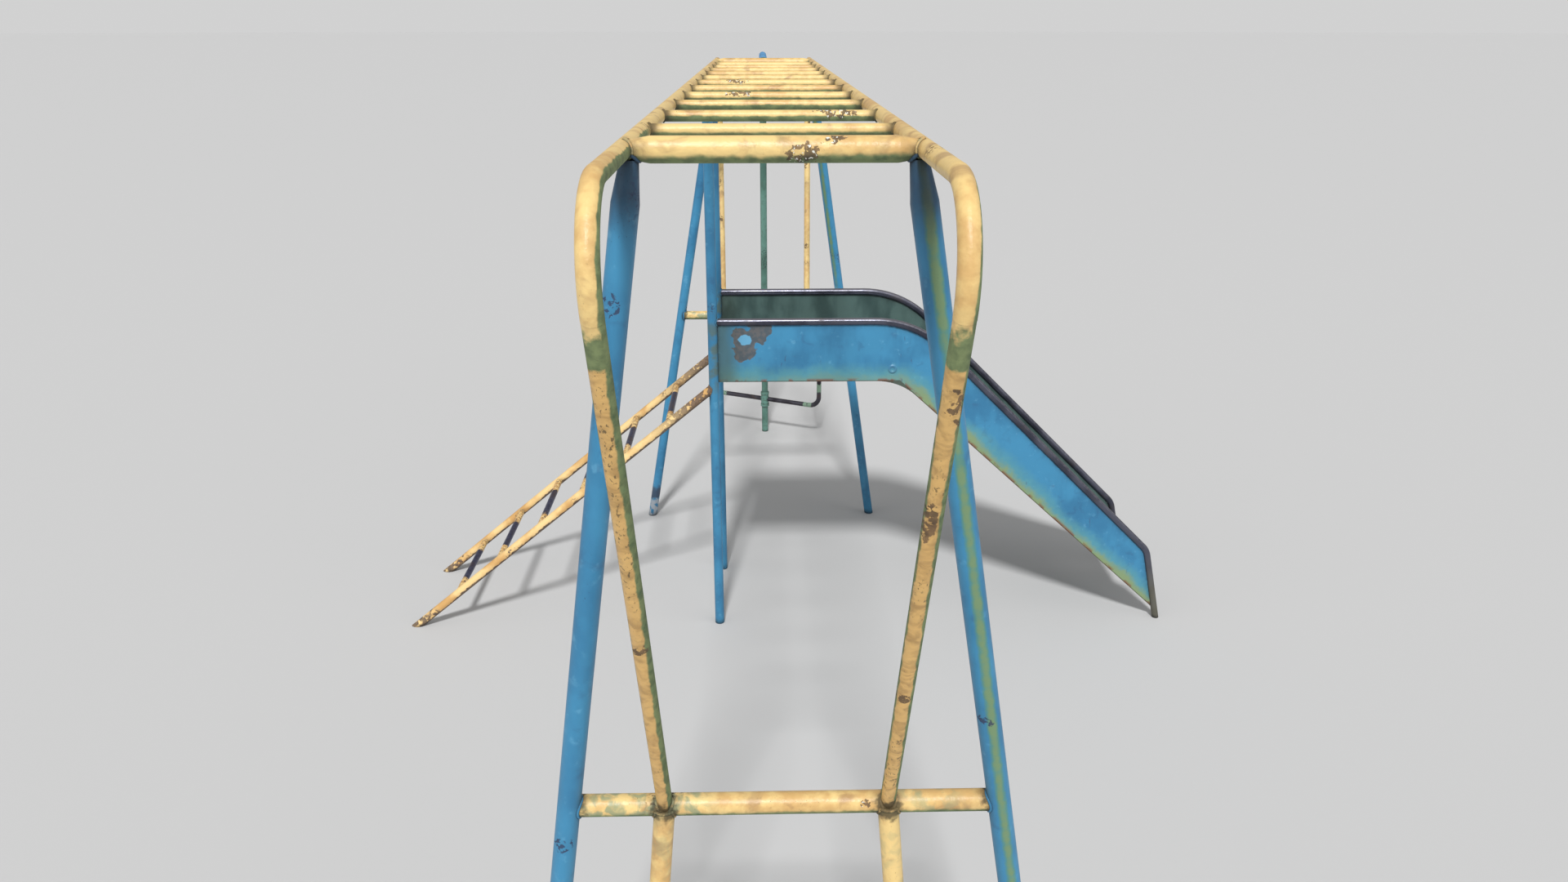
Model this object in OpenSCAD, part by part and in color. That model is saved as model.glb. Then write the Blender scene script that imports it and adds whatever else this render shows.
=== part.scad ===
// Climbing set: overhead ladder on two splayed end frames, with a side slide, an access ladder
// and a turning bar on a pole. All tube sizes are outside diameters. Units are millimetres.
// +Y runs along the overhead ladder, +X points down the slide, +Z is up and the ground is Z = 0.

/* [Overhead ladder] */
// Height of the side rail axes above the ground
rail_z = 2200; // [1900:10:2500]
// Distance from one ladder bar to the next
rung_pitch = 288; // [260:2:320]
// Distance from the ladder centre line to each side rail axis
rail_half = 213; // [205:1:250]
// Side rail tube
rail_od = 28; // [26:1:30]
// Rung tube
rung_od = 21.3; // [20:0.1:24]
// How far the end loops would reach past the end frame if they were not rounded
loop_reach = 421; // [380:5:460]
// Centre line radius of the bend at the top of each end loop
loop_bend = 110; // [90:5:130]
// Inward lean of the end loops, in degrees
loop_lean = 0.66; // [0.3:0.02:1]

/* [End frames] */
// Leg tube
leg_od = 42; // [40:1:46]
// Leg diameter where it is swaged down under the top bar
leg_tip_od = 24; // [22:1:26]
// Length of the swaged end of a leg
leg_swage = 75; // [60:5:100]
// Half spacing of the leg axes at rail height
leg_top_half = 202; // [196:1:204]
// Half spacing of the narrower leg at the ground
leg_foot_narrow = 529; // [480:1:560]
// Half spacing of the wider leg at the ground
leg_foot_wide = 587; // [540:1:640]
// Top bar tube
top_bar_od = 38; // [36:1:40]
// Length over which the top bar narrows at each end
top_bar_taper = 24; // [15:1:30]
// Low bar tube
low_bar_od = 40; // [38:1:42]
// Height of the low bar axis
low_bar_z = 1056; // [980:1:1120]
// How far the low bar stands behind the leg axes, towards the ladder
low_bar_back = 8; // [6:1:9]
// Height at which the loop axes reach the plane of the leg axes
loop_end_z = 1063; // [985:1:1125]
// Inner leg tube
inner_leg_od = 38; // [36:1:38]
// Half spacing of the inner legs at the ground
inner_foot_half = 297; // [260:1:340]

/* [Middle posts] */
// Post tube
post_od = 38; // [34:1:40]
// Distance of the posts from the ladder centre line
post_x = 205; // [203:1:215]
// Distance of the near post from the near end frame
post_near_y = 2387; // [2350:1:2400]
// Distance between the two posts
post_gap = 481; // [450:1:500]

/* [Slide] */
// Height of the handrail axis on the level part
slide_top_z = 1307; // [1280:1:1330]
// Slope of the handrails, in degrees
slide_slope = 44.5; // [44:0.1:45]
// Where the level handrail would meet the sloping one
slide_bend_x = 571; // [560:1:580]
// Centre line radius of the handrail bend at the top
slide_bend_r = 390; // [340:10:400]
// Height of the corner at the foot of the handrail slope
slide_knee_z = 318; // [300:1:330]
// Centre line radius of the handrail bend at the foot
slide_knee_r = 90; // [70:5:100]
// Place of the handrail foot on the ground
slide_foot_x = 1654; // [1650:1:1665]
// Handrail tube
handrail_od = 27; // [25:1:30]
// Height of the lower edge of the side sheets on the level part
side_low_z = 1068; // [1050:1:1080]
// Where the level lower edge meets the sloping one
side_bend_x = 516; // [505:1:525]
// Slope of the lower edge of the side sheets, in degrees
side_slope = 42.4; // [42:0.1:43]
// Radius of the lower edge at its bend
side_bend_r = 230; // [100:10:280]
// Thickness of the side sheets
side_t = 3; // [2:0.5:4]
// Thickness of the sliding surface
bed_t = 2.5; // [2:0.5:3]
// Height of the sliding surface above the lower edge of the side sheets
bed_lift = 40; // [30:1:60]
// Slope of the run-out at the foot of the slide, in degrees
bed_runout = 8; // [4:1:12]
// Where the slope would meet the run-out
bed_runout_x = 1455; // [1430:5:1460]
// Radius of the two bends of the sliding surface
bed_bend_r = 260; // [200:10:300]
// Tube under the sliding surface
tie_od = 21.3; // [20:0.1:22]

/* [Access ladder] */
// Stringer tube
stringer_od = 34; // [30:1:36]
// Distance of the stringer feet from the ladder centre line
stringer_foot_x = 1475; // [1400:5:1520]
// Height at which the stringers meet the post axes
stringer_top_z = 1048; // [1020:1:1060]
// Step tube
step_od = 25; // [22:1:28]
// Distance of the first step from the foot, along the stringer
step_first = 238; // [220:1:250]
// Distance from one step to the next
step_pitch = 234; // [225:1:240]

/* [Pole and turning bar] */
// Pole tube
pole_od = 38; // [34:1:38]
// Distance of the pole beyond the far end frame
pole_reach = 1199; // [1150:1:1300]
// Centre line radius of the bend at the top of the pole
pole_bend = 130; // [100:10:200]
// Height of the middle of the sleeve
sleeve_z = 210; // [200:1:230]
// Length of the sleeve
sleeve_h = 60; // [50:1:64]
// Outside diameter of the sleeve
sleeve_od = 46; // [44:1:48]
// Outside diameter of the stop collars
collar_od = 51; // [48:1:54]
// Height of each stop collar
collar_h = 14; // [10:1:16]
// Turning bar tube
bar_od = 27; // [25:1:30]
// Distance from the pole axis to each upturned end
bar_reach = 357; // [320:1:380]
// Centre line radius of the upturned ends
bar_bend = 60; // [50:1:70]
// Height of the top of the upturned ends
bar_top_z = 750; // [600:10:850]
// Angle of the turning bar at rest, seen from above
bar_yaw = -25; // [-28:1:-20]

/* [Walls and gaps] */
// Wall of the thick tubes
wall_thick = 3.2; // [2.6:0.1:3.6]
// Wall of the thin tubes
wall_thin = 2.6; // [2:0.1:3]
// Gap left for the weld where one tube is shaped to fit another
weld_gap = 0.1; // [0.05:0.05:0.2]
// Radial running clearance of the sleeve on the pole
run_gap = 0.05; // [0.02:0.01:0.1]
// Axial clearance between the sleeve and each collar
end_gap = 0.6; // [0.3:0.1:1]

/* [Hidden] */
$fn = 96;
over = 1;                                   // how far a cutter reaches past what it cuts
lap = 0.5;                                  // how far a straight length reaches into a bend
swell = 0.5;                                // how much thicker a tube bend is than its straight lengths
bed_swell = 0.04;                           // the same for the sheet of the sliding surface
rungs = 11;
far_y = (rungs + 1) * rung_pitch;           // plane of the far end frame
post_far_y = post_near_y + post_gap;
pole_y = far_y + pole_reach;

// Loops: the bend turns the rail down and back to the low bar
loop_drop = rail_z - loop_end_z;
loop_back = atan(loop_reach / loop_drop);   // angle of the returning tube from vertical
loop_turn = 90 + loop_back;
loop_cut = loop_bend * tan(loop_turn / 2);  // straight length lost to the bend, each side
loop_down = sqrt(pow(loop_reach, 2) + pow(loop_drop, 2));
loop_sink = low_bar_back;                   // how far a loop would reach on inside the low bar
low_bar_inset = 12;                         // distance of the low bar's ends from the leg axes
inner_leg_drop = 10;                        // how far the inner legs end below the loop ends

// Slide handrail: level, bend, slope, bend, foot
knee_x = slide_bend_x + (slide_top_z - slide_knee_z) / tan(slide_slope);
foot_slope = atan2(slide_knee_z, slide_foot_x - knee_x);
top_cut = slide_bend_r * tan(slide_slope / 2);
knee_turn = foot_slope - slide_slope;
knee_cut = slide_knee_r * tan(knee_turn / 2);
slope_len = (slide_top_z - slide_knee_z) / sin(slide_slope);
foot_len = slide_knee_z / sin(foot_slope);

// Side sheets: where the sloping lower edge meets the foot of the handrail
side_tip_x = (slide_knee_z + tan(foot_slope) * knee_x - side_low_z - tan(side_slope) * side_bend_x)
    / (tan(foot_slope) - tan(side_slope));
side_tip_z = side_low_z - tan(side_slope) * (side_tip_x - side_bend_x);

// Sliding surface
bed_z = side_low_z + bed_lift;
bed_bend_x = side_bend_x + bed_lift * tan(side_slope / 2);
bed_top_cut = bed_bend_r * tan(side_slope / 2);
bed_end_cut = bed_bend_r * tan((side_slope - bed_runout) / 2);
bed_slope_len = (bed_runout_x - bed_bend_x) / cos(side_slope);
bed_width = post_gap - side_t - 2 * weld_gap;
bed_exit_len = 30;                          // flat length after the run-out bend
tie_along = [0.10, 0.37, 0.64, 0.91];       // places of the ties along the slope

// Access ladder
stringer_run = stringer_foot_x - post_x;
stringer_slope = atan2(stringer_top_z, stringer_run);

// The origin is the middle of the footprint, on the ground
min_x = -stringer_foot_x - stringer_od / 2 / sin(stringer_slope);
max_x = slide_foot_x + handrail_od / 2 / sin(foot_slope);
min_y = -(loop_reach - loop_cut) - loop_bend - rail_od / 2;
max_y = pole_y - bar_reach * sin(bar_yaw) + bar_od / 2;
origin = [-(min_x + max_x) / 2, -(min_y + max_y) / 2, 0];

// ---- shared shapes ----

// Solid round bar from p to q
module bar(p, q, d) {
    v = q - p;
    length = norm(v);
    translate(p) rotate([0, acos(v[2] / length), atan2(v[1], v[0])]) cylinder(h = length, d = d);
}

// Solid arc of round bar: starts at the origin heading +X and turns towards -Z
module arc(r, turn, d) {
    translate([0, 0, -r]) rotate([90, 0, 0]) rotate([0, 0, 90 - turn])
        rotate_extrude(angle = turn) translate([r, 0]) circle(d = d);
}

// Solid bend that starts at the origin heading +X, then a straight length
module bend(r, turn, length, d) {
    arc(r, turn, d + swell);
    after_bend(r, turn) bar([-lap, 0, 0], [length, 0, 0], d);
}

// Solid bar with one bend: length a along +X, a bend down by turn, then length b
module one_bend(a, r, turn, b, d) {
    bar([0, 0, 0], [a + lap, 0, 0], d);
    translate([a, 0, 0]) bend(r, turn, b, d);
}

// Moves its children to the end of an arc that starts at the origin
module after_bend(r, turn) {
    translate([r * sin(turn), 0, -r * (1 - cos(turn))]) rotate([0, turn, 0]) children();
}

// Corner left outside a round of radius r at p, between edges heading from_angle and to_angle
module corner(p, r, from_angle, to_angle) {
    cut = r * tan(abs(to_angle - from_angle) / 2);
    side = sign(to_angle - from_angle);
    a = p - cut * [cos(from_angle), sin(from_angle)];
    b = p + cut * [cos(to_angle), sin(to_angle)];
    centre = a + side * r * [-sin(from_angle), cos(from_angle)];
    difference() {
        polygon([a, p, b]);
        translate(centre) circle(r = r);
    }
}

module at_origin() {
    translate(origin) children();
}

// ---- overhead ladder ----

// Solid side rail with both loops; side is -1 left, +1 right
module rail_body(side, d) {
    past = loop_reach - loop_cut;
    translate([side * rail_half, 0, rail_z]) rotate([0, side * loop_lean, 0]) {
        bar([0, -past - lap, 0], [0, far_y + past + lap, 0], d);
        translate([0, -past, 0]) rotate([0, 0, -90])
            bend(loop_bend, loop_turn, loop_down - loop_cut + loop_sink, d);
        translate([0, far_y + past, 0]) rotate([0, 0, 90])
            bend(loop_bend, loop_turn, loop_down - loop_cut + loop_sink, d);
    }
}

// Straight middle length of both side rails, as a cutter for what is welded between them
module rail_cutter() {
    for (side = [-1, 1])
        bar([side * rail_half, -top_bar_od, rail_z], [side * rail_half, far_y + top_bar_od, rail_z],
            rail_od + 2 * weld_gap);
}

module rail(side) {
    color("khaki") difference() {
        rail_body(side, rail_od);
        rail_body(side, rail_od - 2 * wall_thin);
        low_bar_cutter(false);
        low_bar_cutter(true);
    }
}

module rung(number) {
    y = number * rung_pitch;
    color("khaki") difference() {
        bar([-rail_half, y, rail_z], [rail_half, y, rail_z], rung_od);
        bar([-rail_half - over, y, rail_z], [rail_half + over, y, rail_z],
            rung_od - 2 * wall_thin);
        rail_cutter();
    }
}

// ---- end frames ----
// The far frame is the near frame turned half round, so the wide leg changes sides.

function leg_foot(side, far) = (side > 0) == far ? leg_foot_narrow : leg_foot_wide;
function leg_x(side, far, z) =
    side * (leg_top_half + (leg_foot(side, far) - leg_top_half) * (1 - z / rail_z));

// Top bar shape: it narrows to the rail diameter at both ends
module top_bar_body(y, d, end_d) {
    full = rail_half - top_bar_taper - rail_od / 2;
    translate([0, y, rail_z]) rotate([0, 90, 0]) {
        translate([0, 0, -full]) cylinder(h = 2 * full, d = d);
        for (end = [0, 1]) mirror([0, 0, end]) translate([0, 0, full])
            cylinder(h = top_bar_taper + rail_od / 2, d1 = d, d2 = end_d);
    }
}

module top_bar(y) {
    color("khaki") difference() {
        top_bar_body(y, top_bar_od, rail_od - 4);
        top_bar_body(y, top_bar_od - 2 * wall_thick, rail_od - 4 - 2 * wall_thick);
        rail_cutter();
    }
}

function low_bar_y(far) = far ? far_y - low_bar_back : low_bar_back;

module low_bar_cutter(far) {
    y = low_bar_y(far);
    bar([-leg_foot_wide, y, low_bar_z], [leg_foot_wide, y, low_bar_z], low_bar_od + 2 * weld_gap);
}

// Solid leg: full tube with a swaged top end, grown by extra in diameter
module leg_body(side, far, extra) {
    y = far ? far_y : 0;
    foot = [leg_x(side, far, -leg_od), y, -leg_od];
    top = [leg_x(side, far, rail_z), y, rail_z];
    v = top - foot;
    length = norm(v);
    translate(foot) rotate([0, acos(v[2] / length), v[0] < 0 ? 180 : 0]) {
        cylinder(h = length - leg_swage, d = leg_od + extra);
        translate([0, 0, length - leg_swage])
            cylinder(h = leg_swage, d1 = leg_od + extra, d2 = leg_tip_od + extra);
    }
}

module below_ground() {
    reach = far_y + pole_reach;
    translate([-reach, -reach, -4 * leg_od]) cube([2 * reach, 4 * reach, 4 * leg_od]);
}

module leg(side, far) {
    y = far ? far_y : 0;
    color("steelblue") difference() {
        leg_body(side, far, 0);
        leg_body(side, far, -2 * wall_thick);
        below_ground();
        top_bar_body(y, top_bar_od + 2 * weld_gap, rail_od - 4 + 2 * weld_gap);
        rail_cutter();
        translate([-2 * rail_half, y - leg_od, rail_z - rail_od / 2])
            cube([4 * rail_half, 2 * leg_od, leg_od]);
    }
}

module low_bar(far) {
    y = low_bar_y(far);
    left = leg_x(-1, far, low_bar_z) + low_bar_inset;
    right = leg_x(1, far, low_bar_z) - low_bar_inset;
    color("khaki") difference() {
        bar([left, y, low_bar_z], [right, y, low_bar_z], low_bar_od);
        bar([-leg_foot_wide, y, low_bar_z], [leg_foot_wide, y, low_bar_z],
            low_bar_od - 2 * wall_thick);
        leg_body(-1, far, 2 * weld_gap);
        leg_body(1, far, 2 * weld_gap);
    }
}

module inner_leg(side) {
    top_half = rail_half - loop_drop * tan(loop_lean);
    lean = [side * (inner_foot_half - top_half), 0, -loop_end_z];
    top = [side * top_half, 0, loop_end_z] + inner_leg_drop / loop_end_z * lean;
    color("khaki") difference() {
        bar(top, top + lean * 1.05, inner_leg_od);
        bar(top - lean * 0.05, top + lean * 1.1, inner_leg_od - 2 * wall_thick);
        low_bar_cutter(false);
        below_ground();
    }
}

// ---- middle posts ----

module post(y) {
    top_z = rail_z - rail_od / 2 + over;
    color("steelblue") difference() {
        bar([-post_x, y, 0], [-post_x, y, top_z], post_od);
        bar([-post_x, y, -over], [-post_x, y, top_z + over], post_od - 2 * wall_thick);
        rail_cutter();
    }
}

module post_cutter(y) {
    bar([-post_x, y, -over], [-post_x, y, rail_z], post_od + 2 * weld_gap);
}

// ---- slide ----

// Solid handrail path in the plane of a post
module handrail_body(y, d) {
    level = slide_bend_x - top_cut + post_x;
    slope = slope_len - top_cut - knee_cut;
    translate([-post_x, y, slide_top_z]) one_bend(level, slide_bend_r, slide_slope, slope + lap, d);
    translate([-post_x + level, y, slide_top_z]) after_bend(slide_bend_r, slide_slope)
        translate([slope, 0, 0]) bend(slide_knee_r, knee_turn, foot_len - knee_cut + handrail_od, d);
}

module handrail(y) {
    color("dimgray") difference() {
        handrail_body(y, handrail_od);
        handrail_body(y, handrail_od - 2 * wall_thin);
        post_cutter(y);
        below_ground();
    }
}

// Side sheet outline in X and Z, up to the handrail axis
module side_outline() {
    difference() {
        polygon([
            [-post_x, slide_top_z],
            [slide_bend_x, slide_top_z],
            [knee_x, slide_knee_z],
            [side_tip_x, side_tip_z],
            [side_bend_x, side_low_z],
            [-post_x, side_low_z]
        ]);
        corner([slide_bend_x, slide_top_z], slide_bend_r, 0, -slide_slope);
        corner([knee_x, slide_knee_z], slide_knee_r, -slide_slope, -foot_slope);
    }
    corner([side_bend_x, side_low_z], side_bend_r, 0, -side_slope);
}

module slide_side(y) {
    color("steelblue") difference() {
        translate([0, y + side_t / 2, 0]) rotate([90, 0, 0]) linear_extrude(side_t) side_outline();
        handrail_body(y, handrail_od + 2 * weld_gap);
        post_cutter(y);
    }
}

// Flat length of sliding surface along +X, with its top face at Z = 0
module bed_flat(from, to) {
    translate([from, -bed_width / 2, -bed_t]) cube([to - from, bed_width, bed_t]);
}

// Curved length of sliding surface that starts at the origin and turns down by turn
module bed_curve(turn) {
    width = bed_width + bed_swell;
    translate([0, width / 2, -bed_bend_r]) rotate([90, 0, 0]) rotate([0, 0, 90 - turn])
        rotate_extrude(angle = turn) translate([bed_bend_r - bed_t - bed_swell / 2, 0])
        square([bed_t + bed_swell, width]);
}

module slide_bed() {
    level = bed_bend_x - bed_top_cut + post_x - post_od / 2 - weld_gap;
    turn_out = side_slope - bed_runout;
    middle = post_near_y + post_gap / 2;
    color("slategray")
    translate([-post_x + post_od / 2 + weld_gap, middle, bed_z]) {
        bed_flat(0, level + lap);
        translate([level, 0, 0]) {
            bed_curve(side_slope);
            after_bend(bed_bend_r, side_slope) {
                slope = bed_slope_len - bed_top_cut - bed_end_cut;
                bed_flat(-lap, slope + lap);
                translate([slope, 0, -bed_t]) mirror([0, 0, 1]) {
                    bed_curve(turn_out);
                    after_bend(bed_bend_r, turn_out) bed_flat(-lap, bed_exit_len);
                }
            }
        }
    }
}

// Cross tube under the sliding surface, at a share of the slope
module slide_tie(number) {
    along = bed_bend_x + tie_along[number - 1] * (bed_runout_x - bed_bend_x);
    below = bed_t + tie_od / 2 + weld_gap;
    x = along - below * sin(side_slope);
    z = bed_z - (along - bed_bend_x) * tan(side_slope) - below * cos(side_slope);
    ends = side_t / 2 + weld_gap;
    color("steelblue") difference() {
        bar([x, post_near_y + ends, z], [x, post_far_y - ends, z], tie_od);
        bar([x, post_near_y, z], [x, post_far_y, z], tie_od - 2 * wall_thin);
    }
}

// ---- access ladder ----

module stringer_body(y, d) {
    foot = [-stringer_foot_x, y, 0];
    top = [-post_x, y, stringer_top_z];
    bar(foot - 0.05 * (top - foot), top, d);
}

module stringer(y) {
    color("khaki") difference() {
        stringer_body(y, stringer_od);
        stringer_body(y, stringer_od - 2 * wall_thick);
        post_cutter(y);
        below_ground();
    }
}

module step(number) {
    along = step_first + (number - 1) * step_pitch;
    x = -stringer_foot_x + along * cos(stringer_slope);
    z = along * sin(stringer_slope);
    color("darkslategray") difference() {
        bar([x, post_near_y, z], [x, post_far_y, z], step_od);
        bar([x, post_near_y - over, z], [x, post_far_y + over, z], step_od - 2 * wall_thin);
        stringer_body(post_near_y, stringer_od + 2 * weld_gap);
        stringer_body(post_far_y, stringer_od + 2 * weld_gap);
    }
}

// ---- pole and turning bar ----

module pole_body(d) {
    translate([0, far_y, rail_z]) rotate([0, 0, 90])
        one_bend(pole_reach - pole_bend, pole_bend, 90, rail_z - pole_bend + leg_od, d);
}

module pole() {
    color("cadetblue") difference() {
        pole_body(pole_od);
        pole_body(pole_od - 2 * wall_thick);
        bar([-rail_half, far_y, rail_z], [rail_half, far_y, rail_z], top_bar_od + 2 * weld_gap);
        below_ground();
    }
}

// Ring on the pole from z upwards
module ring(z, h, od, gap) {
    translate([0, pole_y, z]) difference() {
        cylinder(h = h, d = od);
        translate([0, 0, -over]) cylinder(h = h + 2 * over, d = pole_od + 2 * gap);
    }
}

module collar_lower() {
    color("cadetblue")
        ring(sleeve_z - sleeve_h / 2 - end_gap - collar_h, collar_h, collar_od, run_gap);
}

module collar_upper() {
    color("cadetblue") ring(sleeve_z + sleeve_h / 2 + end_gap, collar_h, collar_od, run_gap);
}

module turning_sleeve() {
    color("cadetblue") ring(sleeve_z - sleeve_h / 2, sleeve_h, sleeve_od, run_gap);
}

// Solid half of the turning bar; side is +1 for the half that points to +X, -1 for the other
module turning_bar_body(side, d) {
    rise = bar_top_z - sleeve_z - bar_bend;
    translate([0, pole_y, sleeve_z]) rotate([0, 0, side > 0 ? bar_yaw : bar_yaw + 180])
        mirror([0, 0, 1]) one_bend(bar_reach - bar_bend, bar_bend, 90, rise, d);
}

module turning_bar(side) {
    color("dimgray") difference() {
        turning_bar_body(side, bar_od);
        turning_bar_body(side, bar_od - 2 * wall_thin);
        translate([0, pole_y, sleeve_z - sleeve_h])
            cylinder(h = 2 * sleeve_h, d = sleeve_od + 2 * weld_gap);
    }
}

// Domed plug that closes the top of each upturned end
module handle_caps() {
    plug_h = 12;
    dome_h = 5;
    dome_r = (pow(bar_od / 2, 2) + pow(dome_h, 2)) / (2 * dome_h);
    bore = bar_od - 2 * wall_thin;
    color("dimgray") for (side = [0, 180])
        translate([0, pole_y, bar_top_z + weld_gap]) rotate([0, 0, bar_yaw + side])
        translate([bar_reach, 0, 0]) {
            translate([0, 0, -plug_h]) cylinder(h = plug_h, d = bore - 2 * weld_gap);
            intersection() {
                cylinder(h = dome_h, d = bar_od);
                translate([0, 0, dome_h - dome_r]) sphere(r = dome_r);
            }
        }
}

at_origin() rail(-1);  // rail_left
at_origin() rail(1);  // rail_right
at_origin() rung(1);  // rung_01
at_origin() rung(2);  // rung_02
at_origin() rung(3);  // rung_03
at_origin() rung(4);  // rung_04
at_origin() rung(5);  // rung_05
at_origin() rung(6);  // rung_06
at_origin() rung(7);  // rung_07
at_origin() rung(8);  // rung_08
at_origin() rung(9);  // rung_09
at_origin() rung(10);  // rung_10
at_origin() rung(11);  // rung_11
at_origin() leg(-1, false);  // near_leg_left
at_origin() leg(1, false);  // near_leg_right
at_origin() top_bar(0);  // near_top_bar
at_origin() low_bar(false);  // near_low_bar
at_origin() inner_leg(-1);  // near_inner_leg_left
at_origin() inner_leg(1);  // near_inner_leg_right
at_origin() leg(-1, true);  // far_leg_left
at_origin() leg(1, true);  // far_leg_right
at_origin() top_bar(far_y);  // far_top_bar
at_origin() low_bar(true);  // far_low_bar
at_origin() post(post_near_y);  // post_near
at_origin() post(post_far_y);  // post_far
at_origin() slide_side(post_near_y);  // slide_side_near
at_origin() slide_side(post_far_y);  // slide_side_far
at_origin() handrail(post_near_y);  // slide_handrail_near
at_origin() handrail(post_far_y);  // slide_handrail_far
at_origin() slide_bed();
at_origin() slide_tie(1);  // slide_tie_1
at_origin() slide_tie(2);  // slide_tie_2
at_origin() slide_tie(3);  // slide_tie_3
at_origin() slide_tie(4);  // slide_tie_4
at_origin() stringer(post_near_y);  // stringer_near
at_origin() stringer(post_far_y);  // stringer_far
at_origin() step(1);  // step_1
at_origin() step(2);  // step_2
at_origin() step(3);  // step_3
at_origin() step(4);  // step_4
at_origin() step(5);  // step_5
at_origin() step(6);  // step_6
at_origin() pole();
at_origin() collar_lower();
at_origin() collar_upper();
at_origin() turning_sleeve();
at_origin() turning_bar(1);  // turning_bar_right
at_origin() turning_bar(-1);  // turning_bar_left
at_origin() handle_caps();
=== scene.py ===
# Looks of the climbing set: finishes for every CAD piece, weld beads, floor, light and camera.
# Lengths are in metres, in the frame of the CAD model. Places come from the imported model.
import math

import bpy
import numpy as np
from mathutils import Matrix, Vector


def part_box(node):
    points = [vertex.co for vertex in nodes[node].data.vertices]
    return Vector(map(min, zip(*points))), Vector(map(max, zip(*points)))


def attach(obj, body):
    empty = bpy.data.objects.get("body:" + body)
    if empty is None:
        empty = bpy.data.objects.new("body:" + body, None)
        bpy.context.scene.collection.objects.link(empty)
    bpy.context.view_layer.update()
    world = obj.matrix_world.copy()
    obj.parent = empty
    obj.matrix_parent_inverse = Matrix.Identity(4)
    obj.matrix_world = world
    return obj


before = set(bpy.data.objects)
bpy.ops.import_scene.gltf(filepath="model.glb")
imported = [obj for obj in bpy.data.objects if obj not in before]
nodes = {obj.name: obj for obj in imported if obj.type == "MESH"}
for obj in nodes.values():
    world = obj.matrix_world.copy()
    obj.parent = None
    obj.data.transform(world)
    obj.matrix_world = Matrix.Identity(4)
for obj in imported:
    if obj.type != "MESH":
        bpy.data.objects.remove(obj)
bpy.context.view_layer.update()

RUNG_NAMES = [f"rung_{number:02d}" for number in range(1, 12)]
STEP_NAMES = [f"step_{number}" for number in range(1, 7)]
TIE_NAMES = [f"slide_tie_{number}" for number in range(1, 5)]
SIDES = {"left": -1, "right": 1}


# ---- places, read from the frame ----

def middle(name):
    """Centre of a node's box."""
    low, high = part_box(name)
    return (low + high) / 2


def half(name):
    """Half the size of a node's box."""
    low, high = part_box(name)
    return (high - low) / 2


def points_of(name):
    """Mesh points of a node, one row each."""
    return np.array([v.co[:] for v in nodes[name].data.vertices])


def crosswise(along):
    """Two unit vectors square to along and to each other."""
    helper = np.array([1.0, 0, 0]) if abs(along[0]) < 0.7 else np.array([0, 1.0, 0])
    side = np.cross(along, helper)
    side /= np.linalg.norm(side)
    return side, np.cross(along, side)


TILTS = (0.02, 0.005, 0.001, 0.0002)  # ever finer tilts, tried while they make a tube look slimmer


def tube(name, towards):
    """Middle, direction and radius of a straight tube node; the direction points towards a vector."""
    points = points_of(name)
    along = np.linalg.svd(points - points.mean(0), full_matrices=False)[2][0]

    def width(direction):
        side, up = crosswise(direction)
        return np.ptp(points @ side) + np.ptp(points @ up)

    for tilt in TILTS:
        side, up = crosswise(along)
        better = True
        while better:
            tries = [along + tilt * move for move in (side, -side, up, -up)]
            tries = [t / np.linalg.norm(t) for t in tries]
            best = min(tries, key=width)
            better = width(best) < width(along) - 1e-7
            along = best if better else along
    if along @ np.array(towards) < 0:
        along = -along
    side, up = crosswise(along)
    across = [points @ side, points @ up]
    centre = sum((a.max() + a.min()) / 2 * v for a, v in zip(across, (side, up)))
    length = points @ along
    centre = centre + (length.max() + length.min()) / 2 * along
    return centre, along, np.ptp(across[0]) / 2


# Planes, heights and radii that the marks and welds are placed from.
CENTRE_X = middle("near_top_bar").x
NEAR_Y = middle("near_top_bar").y
FAR_Y = middle("far_top_bar").y
RAIL_Z = middle("rung_01").z
RAIL_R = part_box("rail_left")[1].z - RAIL_Z
RAIL_HALF = CENTRE_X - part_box("rail_left")[0].x - RAIL_R
LOW_Z = middle("near_low_bar").z
POST_X = middle("post_near").x
POST_R = half("post_near").y
SLIDE_Y = {"near": middle("post_near").y, "far": middle("post_far").y}
SLIDE_MIDDLE = (SLIDE_Y["near"] + SLIDE_Y["far"]) / 2
HANDRAIL_R = half("slide_handrail_near").y
SLIDE_TOP_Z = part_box("slide_handrail_near")[1].z - HANDRAIL_R
POLE = middle("collar_lower")
POLE_R = half("pole").x


def loop_foot(word, y):
    """Where the lower end of a rail's loop meets the low bar."""
    points = points_of(f"rail_{word}")
    end = points[(np.abs(points[:, 1] - y) < 0.3) & (points[:, 2] < LOW_Z + 0.1)]
    return Vector((end[:, 0].mean(), y, LOW_Z))


def on_near_frame(x, z):
    """Point on the near face of the near end frame, x measured from the middle of the set."""
    return Vector((CENTRE_X + x, NEAR_Y - RAIL_R, z))


RUNG_MARK_OFF = 0.01  # how far a rung's mark lies above its axis and in front of it


def on_rung(name, x):
    """Point on the upper near side of a rung, x measured from its middle."""
    return middle(name) + Vector((x, -RUNG_MARK_OFF, RUNG_MARK_OFF))


def on_tube(name, z, shift=0.0):
    """Point on the near face of a leaning tube at a height, moved sideways by shift."""
    centre, along, radius = tube(name, (0, 0, 1))
    point = centre + (z - centre[2]) / along[2] * along
    return Vector((point[0] + shift, point[1] - radius, z))


# ---- node materials ----

def paint(red, green, blue):
    """Linear colour of a screen colour given as 0 to 255."""
    return tuple(((c / 255 + 0.055) / 1.055) ** 2.4 for c in (red, green, blue)) + (1.0,)


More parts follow.
